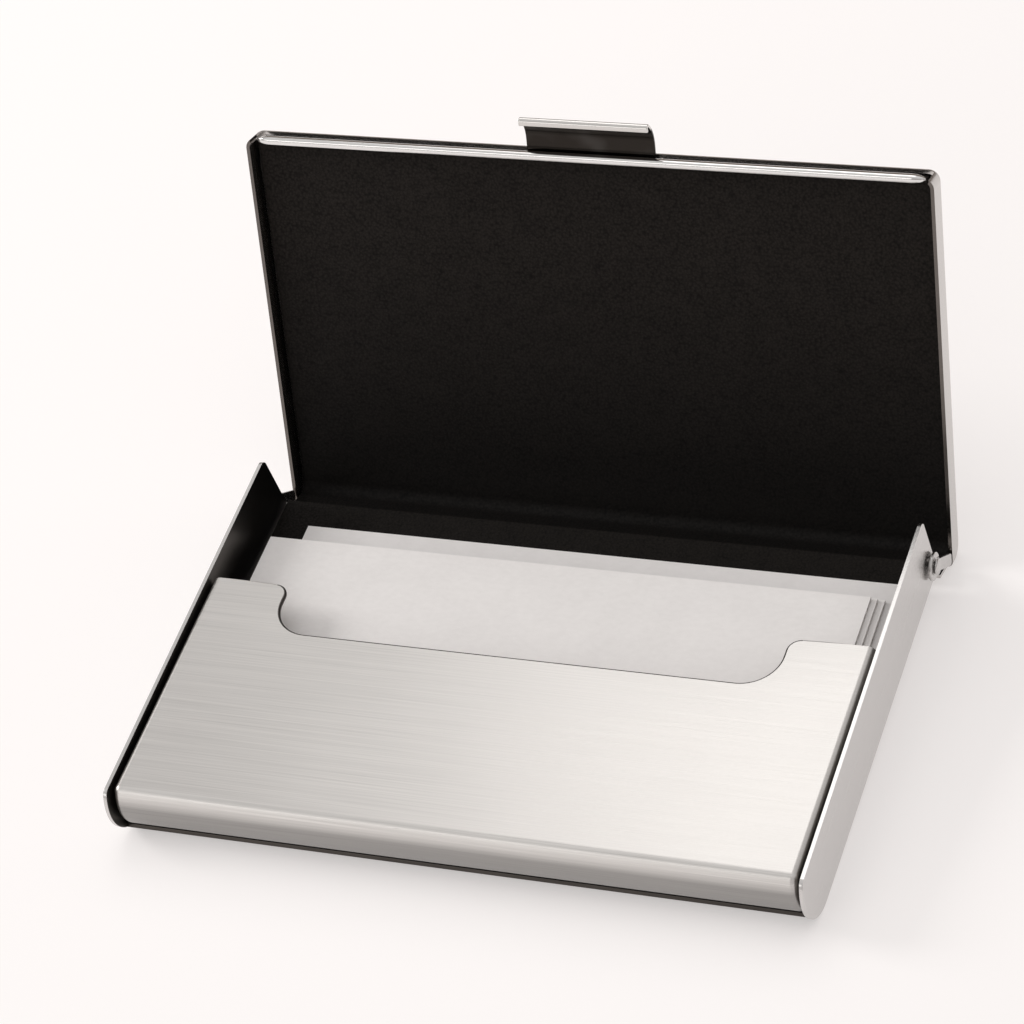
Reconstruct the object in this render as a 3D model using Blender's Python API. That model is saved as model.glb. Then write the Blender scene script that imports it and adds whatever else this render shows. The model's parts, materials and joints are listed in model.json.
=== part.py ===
"""A steel business card case with a leather lining, lid open, as separate named pieces.

Frame: metres, +Z up, +Y to the hinge, origin in the middle of the base's flat underside.
Sizes below are in millimetres. The lid is drawn closed, about its hinge pins, and then turned open.
"""

import math

import bmesh
import bpy
from mathutils import Matrix, Vector

MM = 0.001

# Driving sizes of the whole case
CASE_WIDTH = 98.0
CASE_DEPTH = 63.4
SHEET = 0.5
GAP = 0.3
LID_OPEN_DEG = 110.0

# Base walls
WALL_FRONT_HEIGHT = 10.4
WALL_BACK_HEIGHT = 11.25
WALL_BACK_LEAN = 1.6
WALL_CORNER = 1.1
WALL_PEAK = 1.2
NOSE_RADIUS = 6.6
LIP_SWEEP_DEG = 42.0

# Pocket plate
PLATE_TOP = 10.3
PLATE_BACK_Y = 8.4
PLATE_NOSE_RADIUS = 5.8
PLATE_FOOT = 1.8
PLATE_SIDE_BEND = 2.0
NOTCH_HALF = 36.3
NOTCH_DEPTH = 8.35
NOTCH_TOP_RADIUS = 2.0
NOTCH_FOOT_RADIUS = 5.2

# Leather
FLOOR_LINING_TOP = 1.5
FLOOR_LINING_THICK = 0.7
LID_LINING_THICK = 0.9
SPINE_LINING_THICK = 0.6

# Cards: right-hand shift and back edge of each, from the lowest up
CARD_WIDTH = 88.9
CARD_DEPTH = 50.8
CARD_THICK = 0.38
CARD_SPACE = 0.12
CARD_PLACES = {
    "card_seventh": (2.6, 23.9),
    "card_sixth": (-0.6, 23.1),
    "card_fifth": (0.4, 22.6),
    "card_rear": (2.8, 25.0),
    "card_third": (0.5, 21.6),
    "card_second": (-0.4, 21.3),
    "card_front": (-1.2, 21.05),
}

# Hinge
PIN_Y = 29.3
PIN_Z = 3.1
PIN_RADIUS = 0.6
PIN_HEAD_RADIUS = 1.2
PIN_HEAD_THICK = 0.3
LINK_EYE_RADIUS = 2.0
LINK_BORE = 0.95
LINK_NECK = 1.8

# Lid, as it lies when closed
LID_TOP = 14.7
LID_FRONT_Y = -23.9
LID_BACK_OVERHANG = 4.3
LID_FLANGE = 3.7
LID_STRIP = 1.0
LID_BACK_RADIUS = 2.6
LID_EDGE = 0.8
LID_CORNER = 1.6
SPINE_FOOT = 7.6
SPINE_LINING_FOOT = 7.4

# Front rail and thumb catch of the lid
RAIL_DEPTH = 1.2
RAIL_HEIGHT = 1.3
RAIL_TOP = 12.7
RAIL_TAPER = 2.0
CATCH_WIDTH = 18.6
CATCH_SHIFT = 1.2
CATCH_REACH = 1.5
CATCH_SHEET = 0.4
CATCH_TOP = 13.4
CATCH_BEND_RADIUS = 4.6
CATCH_BEND_DEG = 46.0
CATCH_HEM = 0.5
CATCH_HEM_DEG = 38.0
CATCH_ROOT_Y = -22.6
CATCH_PIVOT_Y = -22.9
CATCH_PIVOT_Z = 13.2

EDGE_BEVEL = 0.12

# Worked-out places
HALF = CASE_WIDTH / 2
INSIDE = HALF - SHEET
BACK = CASE_DEPTH / 2
FRONT = -BACK
NOSE_Y = FRONT + NOSE_RADIUS
NOSE_Z = NOSE_RADIUS
PLATE_HALF = INSIDE - GAP - 0.1
LID_HALF = HALF + GAP + SHEET
LID_INSIDE = LID_HALF - SHEET
LID_BACK_Y = PIN_Y + LID_BACK_OVERHANG
LINK_INNER = HALF + GAP
LINK_OUTER = LINK_INNER + SHEET
LINK_TOP = LID_TOP - LID_FLANGE - GAP
SPINE_HALF = LID_HALF - LID_EDGE


def arc(y, z, radius, start, stop, steps):
    """Points on an arc, with angles in degrees from +Y towards +Z."""
    angles = [math.radians(start + (stop - start) * i / steps) for i in range(steps + 1)]
    return [(y + radius * math.cos(a), z + radius * math.sin(a)) for a in angles]


def fillet(points, radii, steps=5):
    """The closed outline with the corners that radii names, by their index, rounded."""
    outline = []
    for i, point in enumerate(points):
        if i not in radii:
            outline.append(point)
            continue
        corner = Vector(point)
        before = (Vector(points[i - 1]) - corner).normalized()
        after = (Vector(points[(i + 1) % len(points)]) - corner).normalized()
        half = before.angle(after) / 2
        reach = radii[i] / math.tan(half)
        centre = corner + (before + after).normalized() * (radii[i] / math.sin(half))
        first = corner + before * reach - centre
        last = corner + after * reach - centre
        turn = first.angle_signed(last)
        for k in range(steps + 1):
            spun = first.copy()
            spun.rotate(Matrix.Rotation(-turn * k / steps, 2))
            outline.append(tuple(centre + spun))
    return outline


def offset_sheet(path, thickness):
    """A closed outline: the path and its copy shifted to the right-hand side of travel."""
    shifted = []
    for i, point in enumerate(path):
        ahead = Vector(path[min(i + 1, len(path) - 1)]) - Vector(point)
        behind = Vector(point) - Vector(path[max(i - 1, 0)])
        sides = [Vector((d.y, -d.x)).normalized() for d in (behind, ahead) if d.length > 1e-6]
        side = sum(sides, Vector((0, 0))).normalized()
        stretch = thickness / max(side.dot(sides[0]), 0.3)
        shifted.append(tuple(Vector(point) + side * stretch))
    return list(path) + shifted[::-1]


def material(name, colour, roughness, metallic):
    made = bpy.data.materials.get(name) or bpy.data.materials.new(name)
    made.use_nodes = True
    shader = made.node_tree.nodes["Principled BSDF"]
    shader.inputs["Base Color"].default_value = (*colour, 1.0)
    shader.inputs["Roughness"].default_value = roughness
    shader.inputs["Metallic"].default_value = metallic
    return made


def solid(name, rings):
    """A closed mesh object from rings of points, each joined to the next, with capped ends."""
    body = bmesh.new()
    loops = [[body.verts.new(Vector(p) * MM) for p in ring] for ring in rings]
    for lower, upper in zip(loops, loops[1:]):
        for i in range(len(lower)):
            k = (i + 1) % len(lower)
            body.faces.new((lower[i], lower[k], upper[k], upper[i]))
    body.faces.new(loops[0][::-1])
    body.faces.new(loops[-1])
    bmesh.ops.recalc_face_normals(body, faces=body.faces)
    mesh = bpy.data.meshes.new(name)
    body.to_mesh(mesh)
    body.free()
    made = bpy.data.objects.new(name, mesh)
    bpy.context.scene.collection.objects.link(made)
    return made


def across(name, outline, x0, x1):
    """A prism along X from a (y, z) outline."""
    return solid(name, [[(x, y, z) for y, z in outline] for x in (x0, x1)])


def upright(name, outline, z0, z1):
    """A prism along Z from an (x, y) outline."""
    return solid(name, [[(x, y, z) for x, y in outline] for z in (z0, z1)])


def box(name, low, high):
    corners = [(low[0], low[1]), (high[0], low[1]), (high[0], high[1]), (low[0], high[1])]
    return upright(name, corners, low[2], high[2])


def turned(name, profile, y, z, sides=20):
    """A body turned about a line along X, from (x, radius) steps."""
    angles = [2 * math.pi * i / sides for i in range(sides)]
    return solid(name, [[(x, y + r * math.cos(a), z + r * math.sin(a)) for a in angles] for x, r in profile])


def combine(target, other, operation):
    """Joins the other body to the target, or cuts it out, and hides it."""
    step = target.modifiers.new(other.name, "BOOLEAN")
    step.operation = operation
    step.solver = "EXACT"
    step.object = other
    other.hide_render = True
    other.display_type = "WIRE"


def bake(target):
    """Applies the modifiers, so that later edits work on the finished mesh."""
    graph = bpy.context.evaluated_depsgraph_get()
    mesh = bpy.data.meshes.new_from_object(target.evaluated_get(graph))
    helpers = [m.object for m in target.modifiers if m.type == "BOOLEAN"]
    target.modifiers.clear()
    target.data = mesh
    for helper in helpers:
        bpy.data.objects.remove(helper)


def soften(target, width=EDGE_BEVEL, segments=2):
    """Small rounded edges, as deburred sheet has."""
    step = target.modifiers.new("softened_edges", "BEVEL")
    step.width = width * MM
    step.segments = segments
    step.limit_method = "ANGLE"
    step.angle_limit = math.radians(40)
    step.use_clamp_overlap = True


def round_edges(target, chosen, radius, segments):
    """Rounds the edges for which chosen(first point, second point) is true, in millimetres."""
    body = bmesh.new()
    body.from_mesh(target.data)
    edges = [e for e in body.edges if chosen(*(v.co / MM for v in e.verts))]
    width = radius * MM
    bmesh.ops.bevel(
        body, geom=edges, offset=width, segments=segments, affect="EDGES", profile=0.5, clamp_overlap=True
    )
    body.to_mesh(target.data)
    body.free()


def finish(target, finish_material, parent=None):
    target.data.materials.clear()
    target.data.materials.append(finish_material)
    target.data.shade_smooth()
    target.data.set_sharp_from_angle(angle=math.radians(35))
    if parent:
        target.parent = parent


def about(parent_place, target):
    """Moves the mesh so that the object's own origin is its joint axis."""
    target.data.transform(Matrix.Translation(-Vector(parent_place) * MM))


def wall_height(y):
    share = (y - FRONT) / CASE_DEPTH
    return WALL_FRONT_HEIGHT + (WALL_BACK_HEIGHT - WALL_FRONT_HEIGHT) * share


def wall_outline():
    """Side view of a base wall: a round nose, a rising top edge and a leaning back end."""
    rise = math.degrees(math.asin((WALL_FRONT_HEIGHT - NOSE_Z) / NOSE_RADIUS))
    nose = arc(NOSE_Y, NOSE_Z, NOSE_RADIUS, 270, 180 - rise, 16)
    peak = BACK - WALL_BACK_LEAN
    points = nose + [(peak, wall_height(peak)), (BACK, 0.0)]
    return fillet(points, {len(nose) - 1: WALL_CORNER, len(nose): WALL_PEAK})


def make_base_shell(steel):
    """Folded steel base: flat bottom, two walls and a curled front lip."""
    curl = arc(NOSE_Y, NOSE_Z, NOSE_RADIUS, 270 - LIP_SWEEP_DEG, 270, 10)
    path = curl + [(BACK, 0.0)]
    shell = across("base_shell", offset_sheet(path[::-1], SHEET), -INSIDE - 0.2, INSIDE + 0.2)
    for side in (-1, 1):
        wall = across(f"wall_{side}", wall_outline(), side * INSIDE, side * HALF)
        combine(shell, wall, "UNION")
    bake(shell)
    soften(shell)
    finish(shell, steel)


def plate_side(inset, top, back, foot):
    """Side view of the pocket plate's body: flat top, a crease, then a round front."""
    radius = PLATE_NOSE_RADIUS - inset
    high = math.degrees(math.asin((top - NOSE_Z) / radius))
    low = math.degrees(math.asin(min((NOSE_Z - foot) / radius, 0.96)))
    front = arc(NOSE_Y, NOSE_Z, radius, 180 - high, 180 + low, 18)
    if front[-1][1] > foot + 0.01:
        front.append((front[-1][0], foot))
    return [(back, foot), (back, top)] + front


def notch_outline():
    """Plan of the finger notch, from past the plate's back edge to its flat foot."""
    foot = PLATE_BACK_Y - NOTCH_DEPTH
    far = PLATE_BACK_Y + 3.0
    wide = NOTCH_HALF + NOTCH_TOP_RADIUS
    shoulder = arc(wide, PLATE_BACK_Y - NOTCH_TOP_RADIUS, NOTCH_TOP_RADIUS, 90, 180, 8)
    hollow = arc(NOTCH_HALF - NOTCH_FOOT_RADIUS, foot + NOTCH_FOOT_RADIUS, NOTCH_FOOT_RADIUS, 0, -90, 10)
    right = [(wide, far)] + shoulder + hollow
    left = [(-x, y) for x, y in right[::-1]]
    return right + left


def plate_body(name, inset, back, foot):
    """The plate's outer form, or the room inside it, with rounded side bends."""
    half = PLATE_HALF - inset
    made = across(name, plate_side(inset, PLATE_TOP - inset, back, foot), -half, half)

    def side_bend(a, b):
        on_side = abs(abs(a.x) - half) < 0.01 and abs(a.x - b.x) < 0.01
        above_foot = max(a.z, b.z) > foot + 0.01
        return on_side and above_foot and min(a.y, b.y) < back - 0.01

    round_edges(made, side_bend, PLATE_SIDE_BEND - inset, 5)
    return made


def make_pocket_plate(steel):
    """Brushed front plate of the card pocket, open below and behind, with a finger notch."""
    plate = plate_body("pocket_plate", 0.0, PLATE_BACK_Y, PLATE_FOOT)
    combine(plate, plate_body("pocket_room", SHEET, PLATE_BACK_Y + 2.0, PLATE_FOOT - 1.0), "DIFFERENCE")
    combine(plate, upright("finger_notch", notch_outline(), PLATE_TOP - 2.0, PLATE_TOP + 2.0), "DIFFERENCE")
    bake(plate)
    soften(plate, 0.1)
    finish(plate, steel)


def make_floor_lining(leather):
    """Black leather on the pocket's floor, up to the base's back edge."""
    half = INSIDE - 0.5
    low = FLOOR_LINING_TOP - FLOOR_LINING_THICK
    lining = box("floor_lining", (-half, NOSE_Y + 0.6, low), (half, BACK - 0.2, FLOOR_LINING_TOP))
    soften(lining, 0.15)
    finish(lining, leather)


def make_cards(card_stock):
    """Blank cards in a loose stack on the floor lining."""
    low = FLOOR_LINING_TOP + GAP
    for name, (shift, back) in CARD_PLACES.items():
        card = box(
            name,
            (shift - CARD_WIDTH / 2, back - CARD_DEPTH, low),
            (shift + CARD_WIDTH / 2, back, low + CARD_THICK),
        )
        finish(card, card_stock)
        low += CARD_THICK + CARD_SPACE


def make_hinge_pins(steel):
    """A headed pin on each wall's outside, through the eye of the lid's link."""
    foot = HALF + GAP
    head = LINK_OUTER + GAP
    for name, side in (("hinge_pin_left", -1), ("hinge_pin_right", 1)):
        profile = [
            (side * foot, PIN_RADIUS),
            (side * head, PIN_RADIUS),
            (side * head, PIN_HEAD_RADIUS),
            (side * (head + PIN_HEAD_THICK * 0.5), PIN_HEAD_RADIUS),
            (side * (head + PIN_HEAD_THICK), PIN_HEAD_RADIUS * 0.7),
        ]
        finish(turned(name, profile, PIN_Y, PIN_Z), steel)


def lid_side(inset, front, top, back, foot):
    """Side view of the closed lid's body, with the round back edge over the hinge."""
    radius = LID_BACK_RADIUS - inset
    curve = arc(back - radius, top - radius, radius, 90, 0, 8)
    return [(front, foot), (front, top)] + curve + [(back, foot)]


def link_outline():
    """Side view of a hinge link: an eye round the pin and a leaning neck up to the lid's flange."""
    lean = math.degrees(math.atan2(LINK_TOP - PIN_Z, LID_BACK_Y - 1.4 - PIN_Y))
    half = math.degrees(math.asin(LINK_NECK / 2 / LINK_EYE_RADIUS))
    eye = arc(PIN_Y, PIN_Z, LINK_EYE_RADIUS, lean - half, lean + half - 360, 24)
    slope = 1 / math.tan(math.radians(lean))
    neck = [(y + (LINK_TOP - z) * slope, LINK_TOP) for y, z in (eye[-1], eye[0])]
    return fillet(eye + neck, {len(eye): 0.5, len(eye) + 1: 0.5}, 4)


def make_hinge_links(steel, hinge):
    """A flat link on each side, in line with the lid's flange and turning on its pin."""
    for name, side in (("hinge_link_left", -1), ("hinge_link_right", 1)):
        link = across(name, link_outline(), side * LINK_INNER, side * LINK_OUTER)
        ends = [(side * (LINK_INNER - 1.0), LINK_BORE), (side * (LINK_OUTER + 1.0), LINK_BORE)]
        combine(link, turned(f"bore_{side}", ends, PIN_Y, PIN_Z), "DIFFERENCE")
        bake(link)
        about((0, PIN_Y, PIN_Z), link)
        soften(link)
        finish(link, steel, hinge)


def make_lid_shell(steel, hinge):
    """Drawn steel lid: flat panel, side flanges, front strip, round back and spine."""
    foot = LID_TOP - LID_FLANGE
    outline = lid_side(0.0, LID_FRONT_Y, LID_TOP, LID_BACK_Y, foot)
    shell = across("lid_shell", outline, -LID_HALF, LID_HALF)
    corner_y = LID_FRONT_Y + LID_CORNER + 0.01

    def front_corner(a, b):
        return max(a.y, b.y) < LID_FRONT_Y + SHEET + 0.01 and abs(a.z - b.z) > 1.0

    def outer_edge(a, b):
        on_side = abs(abs(a.x) - LID_HALF) < 0.01 and abs(a.x - b.x) < 0.01
        above_foot = max(a.z, b.z) > foot + 0.01
        in_corner = max(a.y, b.y) < corner_y
        front_top = min(a.z, b.z) > LID_TOP - 0.01 and in_corner
        return front_top or (on_side and above_foot and not in_corner)

    round_edges(shell, front_corner, LID_CORNER, 5)
    round_edges(shell, outer_edge, LID_EDGE, 3)
    inner = lid_side(SHEET, LID_FRONT_Y + SHEET, LID_TOP - SHEET, LID_BACK_Y - SHEET, foot - 2.0)
    room = across("lid_room", inner, -LID_INSIDE, LID_INSIDE)
    round_edges(room, front_corner, LID_CORNER - SHEET, 5)
    combine(shell, room, "DIFFERENCE")
    mouth = box(
        "front_mouth",
        (-LID_INSIDE + 0.2, LID_FRONT_Y - 1.0, foot - 1.0),
        (LID_INSIDE - 0.2, LID_FRONT_Y + 0.8, LID_TOP - LID_STRIP),
    )
    combine(shell, mouth, "DIFFERENCE")
    spine = box("spine", (-SPINE_HALF, LID_BACK_Y - SHEET, SPINE_FOOT), (SPINE_HALF, LID_BACK_Y, foot + 1.0))
    combine(shell, spine, "UNION")
    bake(shell)
    about((0, PIN_Y, PIN_Z), shell)
    soften(shell)
    finish(shell, steel, hinge)


def make_lid_lining(leather, hinge):
    """Black leather panel inside the lid, under the rail too, with room for the thumb catch."""
    top = LID_TOP - SHEET - GAP
    half = LID_INSIDE - GAP
    front = LID_FRONT_Y + SHEET + GAP
    back = LID_BACK_Y - LID_BACK_RADIUS - 1.3
    room_y = CATCH_ROOT_Y + GAP
    room_left = CATCH_SHIFT - CATCH_WIDTH / 2 - 0.4
    room_right = CATCH_SHIFT + CATCH_WIDTH / 2 + 0.4
    room = [(room_left, front), (room_left, room_y), (room_right, room_y), (room_right, front)]
    plan = [(-half, front)] + room + [(half, front), (half, back), (-half, back)]
    plan = fillet(plan, {0: 1.1, 5: 1.1, 6: 0.8, 7: 0.8}, 3)
    lining = upright("lid_lining", plan, top - LID_LINING_THICK, top)
    about((0, PIN_Y, PIN_Z), lining)
    soften(lining, 0.2)
    finish(lining, leather, hinge)


def make_spine_lining(leather, hinge):
    """Leather strip that curves from the lid's lining down the spine."""
    face = LID_TOP - SHEET - GAP - LID_LINING_THICK
    inner_y = LID_BACK_Y - SHEET - GAP - SPINE_LINING_THICK
    radius = 1.6
    start = LID_BACK_Y - LID_BACK_RADIUS - 1.0
    bend = arc(inner_y - radius, face - radius, radius, 0, 90, 8)
    path = [(inner_y, SPINE_LINING_FOOT)] + bend + [(start, face)]
    outline = offset_sheet(path, SPINE_LINING_THICK)
    half = SPINE_HALF - 0.2
    lining = across("spine_lining", outline, -half, half)
    about((0, PIN_Y, PIN_Z), lining)
    soften(lining, 0.12)
    finish(lining, leather, hinge)


def make_front_rail(steel, hinge):
    """Rounded rail along the lid's front edge, with tapered ends."""
    half = LID_INSIDE - 0.9
    y = LID_FRONT_Y + RAIL_DEPTH / 2
    z = RAIL_TOP - RAIL_HEIGHT / 2
    tapers = [half - RAIL_TAPER * (1 - math.cos(math.radians(a))) for a in (8, 30, 50, 70, 90)]
    scales = [math.sqrt(max(1 - ((x - half + RAIL_TAPER) / RAIL_TAPER) ** 2, 0.06)) for x in tapers]
    stations = [(-x, s) for x, s in zip(tapers, scales)]
    stations += [(x, s) for x, s in zip(tapers[::-1], scales[::-1])]
    rings = []
    for x, scale in stations:
        ring = []
        for i in range(16):
            a = 2 * math.pi * i / 16
            bulge = (abs(math.cos(a)) ** 3 + abs(math.sin(a)) ** 3) ** (-1 / 3)
            ring.append(
                (
                    x,
                    y + scale * bulge * math.cos(a) * RAIL_DEPTH / 2,
                    z + scale * bulge * math.sin(a) * RAIL_HEIGHT / 2,
                )
            )
        rings.append(ring)
    rail = solid("front_rail", rings)
    about((0, PIN_Y, PIN_Z), rail)
    finish(rail, steel, hinge)


def make_thumb_catch(steel, pivot):
    """Sprung thumb catch: a curved tab from the lid's groove with a folded hem."""
    bend_y = LID_FRONT_Y - CATCH_REACH
    bend = arc(bend_y, CATCH_TOP - CATCH_BEND_RADIUS, CATCH_BEND_RADIUS, 90, 90 + CATCH_BEND_DEG, 10)
    end = Vector(bend[-1])
    away = math.radians(180 + CATCH_BEND_DEG)
    along = Vector((math.cos(away), math.sin(away)))
    tip = end + along * 0.4
    back = math.radians(CATCH_BEND_DEG - CATCH_HEM_DEG)
    hem = Vector((math.cos(back), math.sin(back)))
    fold_centre = tip + Vector((along.y, -along.x)) * -(CATCH_SHEET + 0.12)
    fold = []
    first = tip - fold_centre
    turn = math.radians(180 - CATCH_HEM_DEG)
    for i in range(7):
        spun = first.copy()
        spun.rotate(Matrix.Rotation(turn * i / 6, 2))
        fold.append(tuple(fold_centre + spun))
    lip = Vector(fold[-1]) + hem * CATCH_HEM
    path = [(CATCH_ROOT_Y, CATCH_TOP), (bend_y + 0.4, CATCH_TOP)] + bend + fold + [tuple(lip)]
    outline = offset_sheet(path[::-1], CATCH_SHEET)
    left = CATCH_SHIFT - CATCH_WIDTH / 2
    tab = across("thumb_catch", outline, left, left + CATCH_WIDTH)
    about((0, CATCH_PIVOT_Y, CATCH_PIVOT_Z), tab)
    soften(tab, 0.08)
    finish(tab, steel, pivot)


def make_pivot(name, place, parent=None):
    """An empty on a joint's axis."""
    pivot = bpy.data.objects.new(name, None)
    pivot.empty_display_size = 5 * MM
    pivot.location = Vector(place) * MM
    pivot.parent = parent
    bpy.context.scene.collection.objects.link(pivot)
    return pivot


def main():
    for old in list(bpy.data.objects):
        bpy.data.objects.remove(old, do_unlink=True)
    satin = material("satin_steel", (0.56, 0.54, 0.53), 0.28, 1.0)
    brushed = material("brushed_steel", (0.66, 0.64, 0.62), 0.36, 1.0)
    polished = material("polished_steel", (0.70, 0.69, 0.68), 0.16, 1.0)
    leather = material("black_leather", (0.012, 0.011, 0.011), 0.55, 0.0)
    stock = material("card_stock", (0.82, 0.81, 0.82), 0.7, 0.0)

    make_base_shell(satin)
    make_pocket_plate(brushed)
    make_floor_lining(leather)
    make_cards(stock)
    make_hinge_pins(polished)

    hinge = make_pivot("lid_hinge_axis", (0, PIN_Y, PIN_Z))
    make_lid_shell(satin, hinge)
    make_hinge_links(polished, hinge)
    make_lid_lining(leather, hinge)
    make_spine_lining(leather, hinge)
    make_front_rail(polished, hinge)
    catch_place = (0, CATCH_PIVOT_Y - PIN_Y, CATCH_PIVOT_Z - PIN_Z)
    make_thumb_catch(satin, make_pivot("catch_axis", catch_place, hinge))
    hinge.rotation_euler.x = -math.radians(LID_OPEN_DEG)


main()
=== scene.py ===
"""Looks of a steel business card case: fine metal pieces, leather linings, blank cards, light and camera.

Shapes are written in millimetres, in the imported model's own frame. The lid is drawn closed and turned open.
"""

import json
import math

import bmesh
import bpy
from mathutils import Matrix, Vector, noise

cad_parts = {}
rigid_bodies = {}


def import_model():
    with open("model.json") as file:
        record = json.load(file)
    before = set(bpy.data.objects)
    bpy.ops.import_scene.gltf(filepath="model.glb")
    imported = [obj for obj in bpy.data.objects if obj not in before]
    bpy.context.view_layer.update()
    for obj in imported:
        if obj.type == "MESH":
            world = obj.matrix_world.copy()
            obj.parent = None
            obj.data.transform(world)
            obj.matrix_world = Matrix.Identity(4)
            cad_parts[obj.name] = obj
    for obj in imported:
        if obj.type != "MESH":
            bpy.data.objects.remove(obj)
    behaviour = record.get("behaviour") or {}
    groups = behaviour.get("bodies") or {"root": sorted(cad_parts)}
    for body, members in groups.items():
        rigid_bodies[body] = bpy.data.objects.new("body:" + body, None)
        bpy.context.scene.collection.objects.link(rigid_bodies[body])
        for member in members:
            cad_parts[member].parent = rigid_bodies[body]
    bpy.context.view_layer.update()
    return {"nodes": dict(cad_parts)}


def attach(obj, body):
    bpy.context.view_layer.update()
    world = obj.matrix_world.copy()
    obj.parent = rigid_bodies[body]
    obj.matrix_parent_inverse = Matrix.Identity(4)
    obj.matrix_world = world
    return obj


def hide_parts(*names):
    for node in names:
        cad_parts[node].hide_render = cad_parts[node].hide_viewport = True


for old in list(bpy.data.objects):
    bpy.data.objects.remove(old, do_unlink=True)

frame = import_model()

MM = 0.001

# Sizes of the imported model
HALF = 49.0
SHEET = 0.5
GAP = 0.3
INSIDE = HALF - SHEET
BACK = 31.7
FRONT = -BACK
NOSE_RADIUS = 6.6
NOSE_Y = FRONT + NOSE_RADIUS
NOSE_Z = NOSE_RADIUS
WALL_FRONT_HEIGHT = 10.4
WALL_BACK_HEIGHT = 11.25
WALL_BACK_LEAN = 1.6
WALL_CORNER = 1.1
WALL_PEAK = 1.2
LIP_SWEEP_DEG = 42.0
PLATE_HALF = INSIDE - GAP - 0.1
PLATE_TOP = 10.3
PLATE_BACK_Y = 8.4
PLATE_NOSE_RADIUS = 5.8
PLATE_CREASE = 1.1
PLATE_FOOT = 1.8
PLATE_SIDE_BEND = 2.0
NOTCH_HALF = 36.3
NOTCH_DEPTH = 8.35
NOTCH_TOP_RADIUS = 2.0
NOTCH_FOOT_RADIUS = 5.2
FLOOR_TOP = 1.5
FLOOR_THICK = 0.7
PIN_Y = 29.3
PIN_Z = 3.1
PIN_RADIUS = 0.6
PIN_HEAD_RADIUS = 1.2
PIN_HEAD_THICK = 0.3
LINK_EYE_RADIUS = 2.0
LINK_BORE = 0.95
LINK_NECK = 1.8
LINK_INNER = HALF + GAP
LINK_OUTER = LINK_INNER + SHEET
LID_HALF = HALF + GAP + SHEET
LID_INSIDE = LID_HALF - SHEET
LID_TOP = 14.7
LID_FRONT_Y = -23.9
LID_BACK_Y = PIN_Y + 4.3
LID_FLANGE = 3.7
LINK_TOP = LID_TOP - LID_FLANGE - GAP
LID_STRIP = 1.0
LID_BACK_RADIUS = 2.6
LID_EDGE = 0.8
LID_CORNER = 1.6
LID_LINING_THICK = 0.9
SPINE_HALF = LID_HALF - LID_EDGE
SPINE_FOOT = 7.6
SPINE_LINING_FOOT = 7.4
SPINE_THICK = 0.6
RAIL_DEPTH = 1.2
RAIL_HEIGHT = 1.3
RAIL_TOP = 12.7
RAIL_TAPER = 2.0
CATCH_WIDTH = 18.6
CATCH_SHIFT = 1.2
CATCH_REACH = 1.5
CATCH_SHEET = 0.4
CATCH_TOP = 13.4
CATCH_BEND_RADIUS = 4.6
CATCH_BEND_DEG = 46.0
CATCH_HEM = 0.5
CATCH_HEM_DEG = 38.0
CATCH_ROOT_Y = -22.6
LID_OPEN_DEG = 110.0

# Finer sizes of the visible pieces
SHEET_ROUND = 0.13
PLATE_ROUND = 0.14
LINK_CORNER = 0.5
LINK_ROUND = 0.16
CATCH_ROUND = 0.09
STRIP_ROUND = 0.15
NOTCH_RIM_ROUND = 0.3
# The base's curled lip takes painted shade in front of this.
LIP_SHADE_FROM = NOSE_Y - 1.2
LINING_BEND = 1.6
LINING_ROLL = 0.4
LINING_STEP = 0.75
FLOOR_ROLL = 0.35
FLOOR_STEP = 0.8

PIN = Vector((0, PIN_Y, PIN_Z)) * MM
LID_TURN = Matrix.Rotation(-math.radians(LID_OPEN_DEG), 4, "X")
LID_OPEN = Matrix.Translation(PIN) @ LID_TURN @ Matrix.Translation(-PIN)


# Outlines

def arc(y, z, radius, start, stop, steps):
    """Points on an arc, with angles in degrees from the first axis towards the second."""
    angles = [math.radians(start + (stop - start) * i / steps) for i in range(steps + 1)]
    return [(y + radius * math.cos(a), z + radius * math.sin(a)) for a in angles]


def fillet(points, radii, steps=8):
    """The closed outline with the corners that radii names, by their index, rounded."""
    outline = []
    for i, point in enumerate(points):
        if i not in radii:
            outline.append(point)
            continue
        corner = Vector(point)
        before = (Vector(points[i - 1]) - corner).normalized()
        after = (Vector(points[(i + 1) % len(points)]) - corner).normalized()
        half = before.angle(after) / 2
        reach = radii[i] / math.tan(half)
        centre = corner + (before + after).normalized() * (radii[i] / math.sin(half))
        first = corner + before * reach - centre
        last = corner + after * reach - centre
        turn = first.angle_signed(last)
        for k in range(steps + 1):
            spun = first.copy()
            spun.rotate(Matrix.Rotation(-turn * k / steps, 2))
            outline.append(tuple(centre + spun))
    return outline


def offset_sheet(path, thickness):
    """A closed outline: the path and its copy shifted to the right-hand side of travel."""
    shifted = []
    for i, point in enumerate(path):
        ahead = Vector(path[min(i + 1, len(path) - 1)]) - Vector(point)
        behind = Vector(point) - Vector(path[max(i - 1, 0)])
        sides = [Vector((d.y, -d.x)).normalized() for d in (behind, ahead) if d.length > 1e-6]
        side = sum(sides, Vector((0, 0))).normalized()
        stretch = thickness / max(side.dot(sides[0]), 0.3)
        shifted.append(tuple(Vector(point) + side * stretch))
    return list(path) + shifted[::-1]


# Solids

def linked(name, body):
    """A mesh object in the scene from a bmesh."""
    bmesh.ops.recalc_face_normals(body, faces=body.faces)
    mesh = bpy.data.meshes.new(name)
    body.to_mesh(mesh)
    body.free()
    made = bpy.data.objects.new(name, mesh)
    bpy.context.scene.collection.objects.link(made)
    return made


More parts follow.
